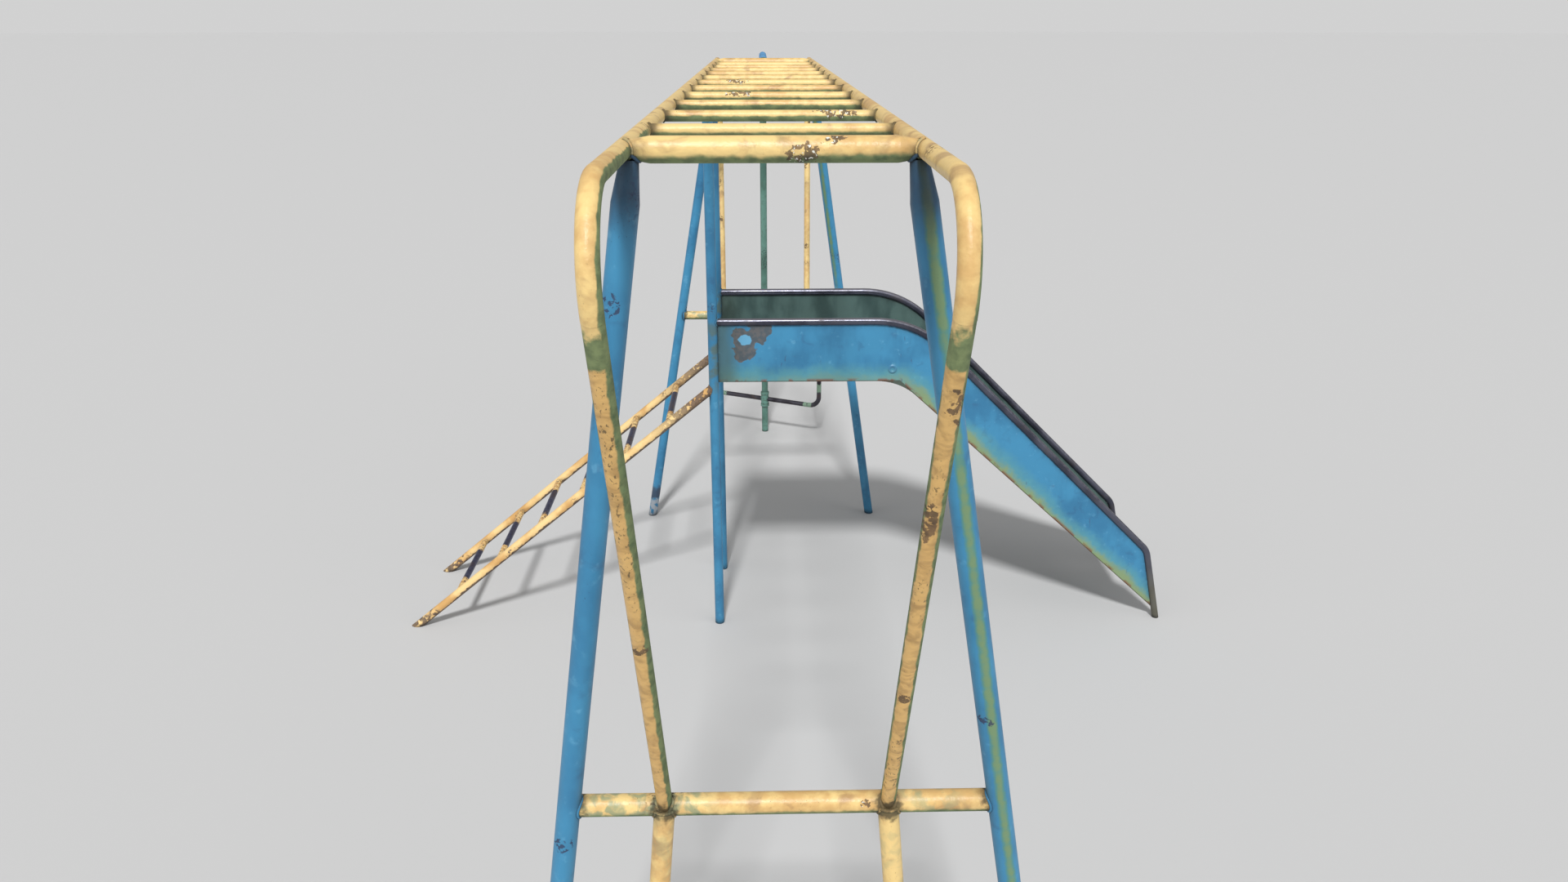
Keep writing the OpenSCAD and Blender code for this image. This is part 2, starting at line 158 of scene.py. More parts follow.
class Finish:
    """Builds one node material. The calls that work out a value return the socket that holds it."""

    def __init__(self, name):
        self.material = bpy.data.materials.new(name)
        self.material.use_nodes = True
        self.tree = self.material.node_tree
        self.tree.nodes.clear()
        self.place = self.new("ShaderNodeTexCoord").outputs["Object"]
        self.normal = self.new("ShaderNodeNewGeometry").outputs["Normal"]
        split = self.new("ShaderNodeSeparateXYZ")
        self.feed(split.inputs[0], self.place)
        self.x, self.y, self.z = split.outputs

    def new(self, kind, **settings):
        node = self.tree.nodes.new(kind)
        for key, value in settings.items():
            setattr(node, key, value)
        return node

    def feed(self, socket, value):
        if isinstance(value, bpy.types.NodeSocket):
            self.tree.links.new(value, socket)
        else:
            socket.default_value = value

    def maths(self, operation, a, b=0.0):
        node = self.new("ShaderNodeMath", operation=operation)
        self.feed(node.inputs[0], a)
        self.feed(node.inputs[1], b)
        return node.outputs[0]

    def noise(self, scale, detail=3.0, stretch=(1, 1, 1), shift=0.0, bend=0.0):
        """Soft noise from 0 to 1. A larger scale is finer, and shift moves it to another place."""
        move = self.new("ShaderNodeMapping")
        self.feed(move.inputs["Vector"], self.place)
        move.inputs["Scale"].default_value = stretch
        move.inputs["Location"].default_value = (shift, shift * 0.7, shift * 1.3)
        node = self.new("ShaderNodeTexNoise")
        self.feed(node.inputs["Vector"], move.outputs[0])
        node.inputs["Scale"].default_value = scale
        node.inputs["Detail"].default_value = detail
        node.inputs["Distortion"].default_value = bend
        return node.outputs["Fac"]

    def step(self, value, low, high):
        """0 below low, 1 above high, smooth between. With low above high it falls instead of rising."""
        node = self.new("ShaderNodeMapRange", interpolation_type="SMOOTHSTEP")
        self.feed(node.inputs["Value"], value)
        node.inputs["From Min"].default_value = min(low, high)
        node.inputs["From Max"].default_value = max(low, high)
        node.inputs["To Min"].default_value = float(low > high)
        node.inputs["To Max"].default_value = float(low <= high)
        return node.outputs["Result"]

    def chain(self, operation, values):
        result = values[0]
        for value in values[1:]:
            result = self.maths(operation, result, value)
        return result

    def plus(self, *values):
        return self.chain("ADD", values)

    def minus(self, a, b):
        return self.maths("SUBTRACT", a, b)

    def gap(self, a, b):
        """Distance between two values."""
        return self.maths("ABSOLUTE", self.minus(a, b))

    def times(self, *values):
        """Product. For masks it keeps what all of them share."""
        return self.chain("MULTIPLY", values)

    def either(self, *masks):
        """Largest value. For masks it keeps what any of them covers."""
        return self.chain("MAXIMUM", masks)

    def swing(self, noise, width):
        """A noise as a value round 0. Width is how far it could swing in all."""
        return self.times(self.minus(noise, 0.5), width)

    def ragged(self, value, *swings):
        """The value, moved up and down by noises. Each swing is (noise, width)."""
        for noise, width in swings:
            value = self.plus(value, self.swing(noise, width))
        return value

    def between(self, value, low, high, soft):
        """1 from low to high and 0 outside, with soft edges inside that stretch."""
        return self.times(self.step(value, low, low + soft), self.step(value, high, high - soft))

    def mix(self, under, over, share):
        node = self.new("ShaderNodeMix", data_type="RGBA")
        self.feed(node.inputs["Factor"], share)
        self.feed(node.inputs[6], under)
        self.feed(node.inputs[7], over)
        return node.outputs[2]

    def fade(self, first, second, value, low, high):
        """Goes from one screen colour to another as a value rises from low to high."""
        return self.mix(paint(*first), paint(*second), self.step(value, low, high))

    def coat(self, under, screen_colour, mask, share):
        """A screen colour laid over another where a mask says so, at most by a share."""
        return self.mix(under, paint(*screen_colour), self.times(mask, share))

    def facing(self, direction):
        """How far the surface faces a direction, -1 to 1."""
        node = self.new("ShaderNodeVectorMath", operation="DOT_PRODUCT")
        self.feed(node.inputs[0], self.normal)
        node.inputs[1].default_value = Vector(direction).normalized()
        return node.outputs["Value"]

    def apart(self, point, stretch=(1, 1, 1)):
        """Distance from a point, with each direction weighted by stretch."""
        move = self.new("ShaderNodeVectorMath", operation="SUBTRACT")
        self.feed(move.inputs[0], self.place)
        move.inputs[1].default_value = point
        weigh = self.new("ShaderNodeVectorMath", operation="MULTIPLY")
        self.feed(weigh.inputs[0], move.outputs[0])
        weigh.inputs[1].default_value = stretch
        length = self.new("ShaderNodeVectorMath", operation="LENGTH")
        self.feed(length.inputs[0], weigh.outputs[0])
        return length.outputs["Value"]

    def crevice(self, reach):
        """1 in a corner between pieces, 0 in the open. The finishes use it to paint shade into corners.
        """
        node = self.new("ShaderNodeAmbientOcclusion", samples=6)
        node.inputs["Distance"].default_value = reach
        return self.step(node.outputs["AO"], 0.97, 0.58)

    def finish(self, colour, roughness, metallic, heights):
        """Joins the results to a surface. Heights is a list of (value, depth in metres)."""
        surface = self.new("ShaderNodeBsdfPrincipled")
        output = self.new("ShaderNodeOutputMaterial")
        self.feed(surface.inputs["Base Color"], colour)
        self.feed(surface.inputs["Roughness"], roughness)
        self.feed(surface.inputs["Metallic"], metallic)
        normal = None
        for value, depth in heights:
            bump = self.new("ShaderNodeBump")
            bump.inputs["Distance"].default_value = depth
            bump.inputs["Strength"].default_value = 1.0
            self.feed(bump.inputs["Height"], value)
            if normal is not None:
                self.feed(bump.inputs["Normal"], normal)
            normal = bump.outputs["Normal"]
        self.feed(surface.inputs["Normal"], normal)
        self.feed(output.inputs["Surface"], surface.outputs[0])
        return self.material


FLAKE_DEPTH = 0.0005  # how far bare metal lies below the paint


def chips(f, seed, patch=0.67, size=150.0):
    """Places where paint has flaked off: fine flakes inside patches, which get rarer as patch rises."""
    where = f.noise(6.0, 2.0, shift=seed)
    flakes = f.step(f.noise(size, 5.0, shift=seed + 3), 0.53, 0.57)
    pinholes = f.step(f.noise(size * 2.5, 3.0, shift=seed + 5), 0.69, 0.73)
    return f.either(
        f.times(f.step(where, patch, patch + 0.07), flakes),
        f.times(f.step(where, patch - 0.16, patch), pinholes),
    )


def paint_heights(f, seed, flaked, grain, wave):
    """Relief of old paint: flakes lie lower, and grain and wave are noises given as (scale, depth)."""
    return [
        (f.times(flaked, -1.0), FLAKE_DEPTH),
        (f.noise(grain[0], 2.0, shift=seed), grain[1]),
        (f.noise(wave[0], 2.0, shift=seed + 4), wave[1]),
    ]


def spots(f, seed, places):
    """Ragged marks round given places. Each place is (point, stretch, size)."""
    wander = f.swing(f.noise(75.0, 4.0, shift=seed), 2.4)
    marks = 0.0
    for point, stretch, size in places:
        away = f.maths("DIVIDE", f.apart(point, stretch), size)
        marks = f.either(marks, f.step(f.plus(away, wander), 1.0, 0.85))
    return marks


SOOT_REACH = 0.032  # how far old dirt reaches from a joint


def soot(f, seed, points):
    """Dark ring of old dirt round each of the given joints."""
    wander = f.swing(f.noise(70.0, 4.0, shift=seed), SOOT_REACH)
    dirt = 0.0
    for point in points:
        away = f.plus(f.apart(point), wander)
        dirt = f.either(dirt, f.step(away, SOOT_REACH, SOOT_REACH * 0.62))
    return dirt


def ragged_side(f, broad, fine, direction, low, high):
    """Ragged mask of the surface that faces a direction."""
    faced = f.ragged(f.facing(direction), (fine, 0.55), (broad, 0.55))
    return f.step(faced, low, high)


def yellow_base(f, seed):
    """Yellow paint with tan stains. Returns the colour and the two noises behind it."""
    broad = f.noise(5.0, 3.0, shift=seed)
    fine = f.noise(45.0, 4.0, shift=seed + 1)
    tone = f.plus(f.times(broad, 0.65), f.times(fine, 0.35))
    colour = f.fade((233, 202, 135), (208, 169, 108), tone, 0.45, 0.62)
    stain = f.step(f.noise(18.0, 4.0, shift=seed + 2, bend=0.6), 0.54, 0.70)
    return f.coat(colour, (158, 122, 84), stain, 0.6), broad, fine


def yellow_end(f, seed, colour, green, places=(), white=0.0, dirt=0.0):
    """Adds green growth, flakes, painted shade in crevices and dirt at joints to a yellow colour and
    closes the material.
    """
    fine = f.noise(52.0, 4.0, shift=seed + 6)
    growth = f.fade((66, 100, 70), (104, 130, 90), fine, 0.36, 0.62)
    colour = f.mix(colour, growth, f.times(green, 0.9))
    marks = spots(f, seed + 9, places)
    flakes = f.step(f.noise(120.0, 4.0, shift=seed + 3), 0.44, 0.48)
    flaked = f.either(chips(f, seed + 11), f.times(marks, flakes))
    bare = f.fade((70, 56, 48), (112, 88, 66), fine, 0.4, 0.6)
    colour = f.mix(colour, bare, f.times(flaked, 0.85))
    flecks = f.times(marks, f.step(f.noise(170.0, 2.0, shift=seed + 13), 0.60, 0.63), white)
    colour = f.mix(colour, paint(226, 226, 216), flecks)
    # Painted shade in crevices, made patchy with noise, joined with the real dirt at joints.
    crevice_shade = f.either(f.times(f.crevice(0.03), f.step(fine, 0.10, 0.45)), dirt)
    colour = f.coat(colour, (50, 48, 34), crevice_shade, 0.85)
    rough = f.plus(0.36, f.times(f.either(green, flaked, crevice_shade), 0.36), f.times(fine, 0.14))
    return f.finish(colour, rough, 0.0, paint_heights(f, seed, flaked, (150.0, 0.0007), (30.0, 0.0016)))


LOOP_ZONE = (0.20, 0.30)     # the loops' own stains fade out over these distances from the near frame
BAND_DROP = 0.19             # from the rail axes down to the green band round each near loop
BAND_HALF = (0.018, 0.030)   # half height of that band, where it is full and where it ends
SPECK_DROP = 0.33            # from the rail axes down to the densest specks of the left loop


def rail_finish(name, seed, places):
    """Rails and loops: pale above a green band, ochre and speckled below it, green on one side."""
    f = Finish(name)
    colour, broad, fine = yellow_base(f, seed)
    near = f.step(f.y, NEAR_Y + LOOP_ZONE[1], NEAR_Y + LOOP_ZONE[0])
    level = f.minus(f.ragged(f.z, (fine, 0.06)), RAIL_Z - BAND_DROP)
    below = f.times(near, f.step(level, 0.0, -0.03))
    wrinkle = f.noise(26.0, 5.0, stretch=(1, 1, 1.5), shift=seed + 5, bend=1.2)
    ochre = f.fade((218, 176, 108), (176, 138, 82), wrinkle, 0.40, 0.70)
    colour = f.mix(colour, ochre, f.times(below, 0.9))
    specks = f.step(f.noise(210.0, 4.0, stretch=(1, 1, 0.6), shift=seed + 8), 0.58, 0.66)
    dense = f.apart((CENTRE_X - RAIL_HALF, NEAR_Y, RAIL_Z - SPECK_DROP), (0, 0, 1))
    left = f.times(below, f.step(f.x, CENTRE_X + 0.02, CENTRE_X - 0.02))
    where = f.either(
        f.step(f.noise(8.0, 2.0, shift=seed + 7), 0.46, 0.60),
        f.times(left, f.step(dense, 0.14, 0.06)),
    )
    colour = f.coat(colour, (84, 72, 46), f.times(below, specks, where), 0.8)
    band = f.times(near, f.step(f.maths("ABSOLUTE", level), BAND_HALF[1], BAND_HALF[0]))
    green = f.either(
        f.times(near, ragged_side(f, broad, fine, (0.88, 0.15, -0.45), 0.40, 0.58)),
        ragged_side(f, broad, fine, (0.1, 0, -1), 0.50, 0.85),
        f.times(left, ragged_side(f, broad, fine, (1, 0, 0), 0.40, 0.62)),
        f.times(below, ragged_side(f, broad, fine, (-1, 0.2, 0), 0.78, 0.95)),
        band,
    )
    return yellow_end(f, seed, colour, green, places, dirt=soot(f, seed, LOOP_FEET))


GREENER_HALF = (0.25, 0.18)  # half length of the stretch with greener rungs: it fades between these
RUNG_DIRT = (0.022, -0.002)  # how far from the rails the dirt on rungs starts, and where it is full


def rung_finish(name, seed, places):
    """Rungs: green underneath. The second and third are green all along the near side."""
    f = Finish(name)
    colour, broad, fine = yellow_base(f, seed)
    between = (middle("rung_02").y + middle("rung_03").y) / 2
    greener = f.step(f.gap(f.y, between), *GREENER_HALF)
    green = f.either(
        ragged_side(f, broad, fine, (0, -0.35, -1), 0.32, 0.72),
        f.times(greener, ragged_side(f, broad, fine, (0, -0.6, -0.8), 0.42, 0.70)),
    )
    out = f.ragged(f.gap(f.x, CENTRE_X), (fine, 0.02))
    end = RAIL_HALF - RAIL_R
    dirt = f.step(out, end - RUNG_DIRT[0], end - RUNG_DIRT[1])
    return yellow_end(f, seed, colour, green, places, 1.0, dirt)


def bar_finish(name, seed, mottling, places=(), joints=()):
    """Cross bars and inner legs: green underneath and mottled with blue-green stains."""
    f = Finish(name)
    colour, broad, fine = yellow_base(f, seed)
    mottle = f.step(f.noise(34.0, 6.0, shift=seed + 7, bend=0.5), 0.46, 0.60)
    where = f.step(f.noise(5.0, 1.0, shift=seed + 8), 0.34, 0.54)
    colour = f.coat(colour, (136, 150, 118), f.times(mottle, where), mottling)
    green = ragged_side(f, broad, fine, (0, -0.35, -1), 0.44, 0.80)
    return yellow_end(f, seed, colour, green, places, 1.0, soot(f, seed, joints))


def blue_base(f, seed):
    """Blue paint. Returns the colour and the two noises behind it."""
    broad = f.noise(5.0, 4.0, shift=seed)
    fine = f.noise(55.0, 4.0, shift=seed + 1)
    streak = f.noise(24.0, 3.0, stretch=(1, 1, 0.4), shift=seed + 2)
    tone = f.plus(f.times(broad, 0.7), f.times(streak, 0.3))
    colour = f.fade((60, 135, 175), (48, 116, 156), tone, 0.42, 0.64)
    pale = f.step(f.noise(34.0, 5.0, shift=seed + 4), 0.60, 0.74)
    colour = f.coat(colour, (110, 174, 206), pale, 0.35)
    dark = f.step(f.noise(20.0, 5.0, shift=seed + 6, bend=0.8), 0.56, 0.76)
    return f.coat(colour, (44, 84, 122), dark, 0.4), broad, fine


def blue_end(f, seed, colour, fine, places=()):
    """Adds flakes and painted shade in crevices to a blue colour and closes the material."""
    marks = f.times(spots(f, seed + 9, places), f.step(f.noise(110.0, 4.0, shift=seed + 3), 0.50, 0.55))
    flaked = f.either(chips(f, seed + 21), marks)
    colour = f.coat(colour, (50, 56, 84), flaked, 0.85)
    # Painted shade in crevices, made patchy with noise.
    crevice_shade = f.times(f.crevice(0.035), f.step(fine, 0.15, 0.50))
    colour = f.coat(colour, (34, 38, 40), crevice_shade, 0.85)
    rough = f.plus(0.36, f.times(f.either(flaked, crevice_shade), 0.4), f.times(fine, 0.16))
    return f.finish(colour, rough, 0.0, paint_heights(f, seed, flaked, (260.0, 0.0002), (22.0, 0.0014)))


TOP_SHADE = (0.10, 0.02)  # from the rail axes down to where the painted shade on the legs starts and is full


def painted_top_shade(f, colour, broad):
    """Painted shade on the top of a leg, just under the rails."""
    height = f.plus(f.z, f.times(broad, 0.08))
    top = f.step(height, RAIL_Z - TOP_SHADE[0], RAIL_Z - TOP_SHADE[1])
    return f.coat(colour, (30, 42, 62), top, 0.8)


def blue_finish(name, seed, places=()):
    """Blue paint of a leg or a tie, with painted shade on the top of a leg."""
    f = Finish(name)
    colour, broad, fine = blue_base(f, seed)
    # Painted shade on the top of a leg, just under the rails.
    colour = painted_top_shade(f, colour, broad)
    return blue_end(f, seed, colour, fine, places)


BELOW_GROUND = -1.0          # a start height for growth that reaches down to the foot
FAR_GROWTH_START = 1.1       # the growth on the far right leg starts at this height


def striped_finish(name, seed, direction, start, places=()):
    """Blue paint with a length of green growth that faces a direction, above a start height."""
    f = Finish(name)
    colour, broad, fine = blue_base(f, seed)
    faced = f.ragged(f.facing(direction), (fine, 0.16), (broad, 0.18))
    above = f.step(f.z, start, start + 0.25)
    growth = f.times(f.step(faced, 0.85, 0.97), above, 0.8)
    core = f.times(f.step(faced, 0.94, 1.01), above, 0.6)
    colour = f.mix(colour, paint(84, 134, 112), growth)
    colour = f.mix(colour, paint(126, 142, 82), core)
    # Painted shade on the top of the leg, just under the rails.
    colour = painted_top_shade(f, colour, broad)
    return blue_end(f, seed, colour, fine, places)


SLIDE_JOINT_DROP = 0.12  # from the handrail axes down to the middle of the dirt on the posts
SLIDE_JOINT_HALF = (0.20, 0.06)  # half height of that dirt, where it ends and where it is full


def post_finish(name, seed):
    """Blue paint with dirt where the access ladder and the slide join the posts."""
    f = Finish(name)
    colour, _, fine = blue_base(f, seed)
    level = f.gap(f.z, SLIDE_TOP_Z - SLIDE_JOINT_DROP)
    patches = f.step(f.noise(22.0, 5.0, shift=seed + 9), 0.40, 0.58)
    dirty = f.times(f.step(level, *SLIDE_JOINT_HALF), patches)
    colour = f.coat(colour, (86, 106, 98), dirty, 0.85)
    return blue_end(f, seed, colour, fine)


BARE_TOP = (0.11, 0.08)      # heights between which a foot wears down to bare metal
RING_FOOT = (0.09, 0.11)     # heights between which the dark ring above it starts
RING_TOP = (0.18, 0.14)      # heights between which that ring ends


def bare_foot_finish(name, seed):
    """Blue paint that has worn to bare metal round the foot, below a dark ring."""
    f = Finish(name)
    colour, _, fine = blue_base(f, seed)
    height = f.ragged(f.z, (fine, 0.06))
    ring = f.times(f.step(height, *RING_TOP), f.step(height, *RING_FOOT))
    worn = f.times(f.step(height, *BARE_TOP), f.step(f.noise(40.0, 4.0, shift=seed + 8), 0.40, 0.50))
    colour = f.coat(colour, (168, 172, 176), worn, 0.85)
    colour = f.coat(colour, (52, 46, 60), ring, 0.8)
    return blue_end(f, seed, colour, fine)


SIDE_SLOPE = math.radians(42.4)  # slope of the lower edge of the slide's side sheets


def side_corner():
    """Where the level lower edge of a side sheet meets the sloping one."""
    points = points_of("slide_side_near")
    level = points[points[:, 0] < POST_X + 0.1][:, 2].min()
    tip = points[points[:, 2].argmin()]
    return Vector((tip[0] - (level - tip[2]) / math.tan(SIDE_SLOPE), 0, level))


# Heights above the lower edge of a side sheet between which each of these fades out.
TEAL_TOP = (0.085, 0.03)
OLIVE_TOP = (0.042, 0.006)
RUST_TOP = (0.016, 0.002)
RIM_TOP = (0.005, 0.002)


def edge_growth(f, seed, colour, broad, fine):
    """Growth and rust along the lower edge of a side sheet. Returns the colour and the rust."""
    corner = side_corner()
    level = f.minus(f.z, corner.z)
    along = f.minus(f.x, corner.x)
    slope = f.plus(f.times(level, math.cos(SIDE_SLOPE)), f.times(along, math.sin(SIDE_SLOPE)))
    height = f.either(level, slope)
    ragged = f.ragged(height, (broad, 0.10), (fine, 0.03))
    colour = f.coat(colour, (88, 150, 156), f.step(ragged, *TEAL_TOP), 0.7)
    on_slope = f.step(f.x, corner.x - 0.02, corner.x + 0.12)
    olive = f.plus(0.35, f.times(on_slope, 0.5))
    colour = f.coat(colour, (134, 150, 96), f.step(ragged, *OLIVE_TOP), olive)
    rust = f.times(f.step(height, *RUST_TOP), f.step(f.noise(20.0, 4.0, shift=seed + 5), 0.48, 0.56))
    colour = f.coat(colour, (122, 68, 50), rust, 0.9)
    return f.coat(colour, (62, 58, 44), f.step(height, *RIM_TOP), 0.8), rust


SCAR_LOBES = [(0, 0, 0), (0.052, 0, 0.028), (0, 0, -0.045)]


def scarred(f, seed, colour, fine, place):
    """Joined lobes of bare sheet, with paint left in the first. Returns the colour and the scar."""
    wander = f.swing(f.noise(26.0, 3.0, shift=seed), 0.075)
    reaches = [f.plus(f.apart(place + Vector(lobe), (1, 0, 1)), wander) for lobe in SCAR_LOBES]
    scar = f.step(f.chain("MINIMUM", reaches), 0.046, 0.041)
    kept = f.step(f.plus(f.apart(place, (1.25, 0, 0.9)), wander), 0.022, 0.017)
    rusty = f.fade((78, 74, 68), (98, 86, 74), fine, 0.4, 0.6)
    colour = f.mix(colour, rusty, f.times(scar, 0.85))
    return f.mix(colour, paint(98, 160, 194), kept), scar


def dent_rim(f, place):
    """Raised ring round a small dent."""
    away = f.apart(place, (1, 0, 1))
    return f.times(f.step(away, 0.004, 0.012), f.step(away, 0.020, 0.013))


def scratched(f, seed, colour):
    """Dark scratches that run up and down in a few places."""
    scratch = f.step(f.noise(60.0, 5.0, stretch=(1, 1, 0.25), shift=seed + 9), 0.66, 0.70)
    scratch = f.times(scratch, f.step(f.noise(5.0, 1.0, shift=seed + 2), 0.52, 0.60))
    return f.coat(colour, (58, 84, 112), scratch, 0.6)


def green_inside(f, seed, colour, inward):
    """Darker green on the side of the sheet that faces the rider; inward is the sign of its Y."""
    inside = f.step(f.facing((0, inward, 0)), 0.4, 0.8)
    stain = f.noise(12.0, 5.0, stretch=(1, 1, 0.4), shift=seed + 3)
    teal = f.fade((80, 102, 94), (56, 74, 66), stain, 0.40, 0.66)
    return f.mix(colour, teal, f.times(inside, 0.95))


def side_finish(name, seed, inward, scar_place=None, dent_place=None):
    """Blue side sheet: growth and rust on the lower edge, darker green on the inside."""
    f = Finish(name)
    colour, broad, fine = blue_base(f, seed)
    colour, rust = edge_growth(f, seed, colour, broad, fine)
    heights = [(f.noise(260.0, 2.0, shift=seed), 0.0002), (f.noise(7.0, 2.0, shift=seed), 0.009)]
    end = f.step(f.ragged(f.x, (broad, 0.10)), POST_X + 0.12, POST_X + 0.04)
    colour = f.coat(colour, (72, 98, 94), end, 0.75)
    scar = 0.0
    if scar_place is not None:
        colour, scar = scarred(f, seed, colour, fine, scar_place)
        heights.append((f.times(scar, -1.0), 0.0006))
    if dent_place is not None:
        rim = dent_rim(f, dent_place)
        colour = f.coat(colour, (60, 110, 150), rim, 0.4)
        heights.append((rim, 0.003))
    colour = scratched(f, seed, colour)
    colour = green_inside(f, seed, colour, inward)
    # Painted shade in crevices, made patchy with noise.
    crevice_shade = f.times(f.crevice(0.025), f.step(fine, 0.2, 0.55))
    colour = f.coat(colour, (36, 42, 44), crevice_shade, 0.8)
    rough = f.plus(0.36, f.times(f.either(rust, crevice_shade, scar), 0.4), f.times(fine, 0.14))
    return f.finish(colour, rough, 0.0, heights)


OVER_ALL = 9.0  # a height above the whole set


def green_finish(name, seed, blue_above=OVER_ALL, dirt=0.0):
    """Old grey-green paint of the pole and its rings, and blue paint above a height."""
    f = Finish(name)
    broad = f.noise(6.0, 4.0, shift=seed)
    fine = f.noise(60.0, 4.0, shift=seed + 1)
    colour = f.fade((98, 140, 128), (74, 112, 100), broad, 0.42, 0.62)
    colour = f.coat(colour, (74, 92, 80), f.step(fine, 0.52, 0.68), 0.4 + dirt)
    colour = f.mix(colour, paint(70, 150, 205), f.step(f.z, blue_above, blue_above + 0.03))
    flaked = chips(f, seed + 5, 0.56)
    colour = f.coat(colour, (48, 56, 54), flaked, 0.85)
    # Painted shade in crevices, made patchy with noise.
    crevice_shade = f.times(f.crevice(0.02), f.step(fine, 0.2, 0.55))
    colour = f.coat(colour, (40, 46, 38), crevice_shade, 0.85)
    rough = f.plus(0.42, f.times(f.either(flaked, crevice_shade), 0.35))
    return f.finish(colour, rough, 0.0, paint_heights(f, seed, flaked, (240.0, 0.0003), (28.0, 0.0012)))


HANDRAIL_FOOT = (0.42, 0.18)  # heights between which the handrails turn brown near the ground


def handrail_finish(name, seed):
    """Bare steel polished by hands and painted lighter on top as a highlight, brown where nobody holds it
    and near the ground.
    """
    f = Finish(name)
    broad = f.noise(7.0, 4.0, shift=seed)
    fine = f.noise(90.0, 4.0, shift=seed + 1)
    colour = f.fade((92, 94, 108), (66, 67, 80), broad, 0.40, 0.62)
    # Lighter on the top: partly polish from hands, partly a painted highlight.
    held_and_highlit = f.ragged(f.facing((0, -0.3, 0.95)), (fine, 0.5))
    colour = f.coat(colour, (150, 148, 156), f.step(held_and_highlit, 0.55, 0.95), 0.6)
    brown = f.step(f.noise(14.0, 5.0, shift=seed + 2), 0.54, 0.70)
    colour = f.coat(colour, (88, 80, 74), brown, 0.4)
    foot = f.step(f.plus(f.z, f.times(broad, 0.2)), *HANDRAIL_FOOT)
    colour = f.coat(colour, (98, 96, 76), foot, 0.7)
    # Painted shade in crevices.
    crevice_shade = f.crevice(0.02)
    colour = f.coat(colour, (24, 24, 28), crevice_shade, 0.8)
    rough = f.plus(0.26, f.times(f.either(f.times(brown, 0.6), foot, crevice_shade), 0.35), f.times(fine, 0.14))
    heights = [(f.noise(300.0, 3.0, shift=seed), 0.0002), (f.noise(26.0, 2.0, shift=seed + 4), 0.001)]
    return f.finish(colour, rough, f.minus(0.75, f.times(foot, 0.6)), heights)


BAR_RING = (0.255, 0.315)    # distances from the pole between which the level bar keeps its paint
BAR_ELBOW = (0.285, 0.36)    # heights between which the upturned ends keep theirs
BAR_TOP = (0.56, 0.60)       # they keep it again above these heights


def turning_finish(name, seed):
    """Dark steel of the turning bar, with light green paint left near its bends and tops."""
    f = Finish(name)
    fine = f.noise(80.0, 4.0, shift=seed)
    broad = f.noise(12.0, 3.0, shift=seed + 1)
    colour = f.fade((76, 74, 82), (50, 46, 52), broad, 0.4, 0.62)
    out = f.apart(POLE, (1, 1, 0))
    rings = f.between(f.ragged(out, (fine, 0.012)), *BAR_RING, 0.007)
    up = f.ragged(f.z, (broad, 0.10))
    tops = f.times(f.step(up, *BAR_TOP), f.step(out, 0.30, 0.33))
    elbow = f.times(f.between(up, *BAR_ELBOW, 0.01), f.step(out, 0.33, 0.34))
    left = f.times(f.either(rings, tops, elbow), f.step(fine, 0.30, 0.42))
    colour = f.coat(colour, (128, 158, 134), left, 0.85)
    brown = f.step(f.noise(24.0, 5.0, shift=seed + 2), 0.55, 0.70)
    colour = f.coat(colour, (96, 78, 66), brown, 0.5)
    # Painted shade in crevices.
    crevice_shade = f.crevice(0.02)
    colour = f.coat(colour, (28, 26, 26), crevice_shade, 0.8)
    rough = f.plus(0.34, f.times(f.either(left, crevice_shade, brown), 0.3))
    heights = [(f.noise(280.0, 3.0, shift=seed), 0.0003), (left, 0.0004)]
    return f.finish(colour, rough, f.minus(0.7, f.times(left, 0.7)), heights)


WORN_HALF = (0.115, 0.125)  # half length of a step's worn middle: it fades between these


def step_finish(name, seed):
    """Yellow paint left at both ends of a step, worn to dark steel where feet land."""
    f = Finish(name)
    fine = f.noise(70.0, 5.0, shift=seed)
    broad = f.noise(10.0, 3.0, shift=seed + 1)
    out = f.ragged(f.gap(f.y, SLIDE_MIDDLE), (broad, 0.12), (fine, 0.05))
    kept = f.step(out, *WORN_HALF)
    steel = f.fade((58, 60, 86), (78, 80, 104), fine, 0.4, 0.65)
    steel = f.coat(steel, (84, 66, 58), f.step(broad, 0.52, 0.66), 0.6)
    yellow = f.fade((232, 200, 138), (196, 150, 92), fine, 0.42, 0.60)
    colour = f.mix(steel, yellow, kept)
    flaked = f.times(kept, f.step(f.noise(110.0, 4.0, shift=seed + 3), 0.58, 0.62))
    colour = f.mix(colour, paint(70, 58, 58), flaked)
    # Painted shade in crevices.
    crevice_shade = f.crevice(0.025)
    colour = f.coat(colour, (52, 42, 36), crevice_shade, 0.85)
    rough = f.plus(0.34, f.times(kept, 0.14))
    heights = [(kept, 0.0004), (f.noise(240.0, 2.0, shift=seed), 0.0003)]
    return f.finish(colour, rough, f.minus(0.6, f.times(kept, 0.6)), heights)


FOOT_WEAR = (0.09, 0.06)     # heights between which the wear round a stringer's foot starts
TOP_WEAR = (0.80, 1.00)      # the same for the wear near its top


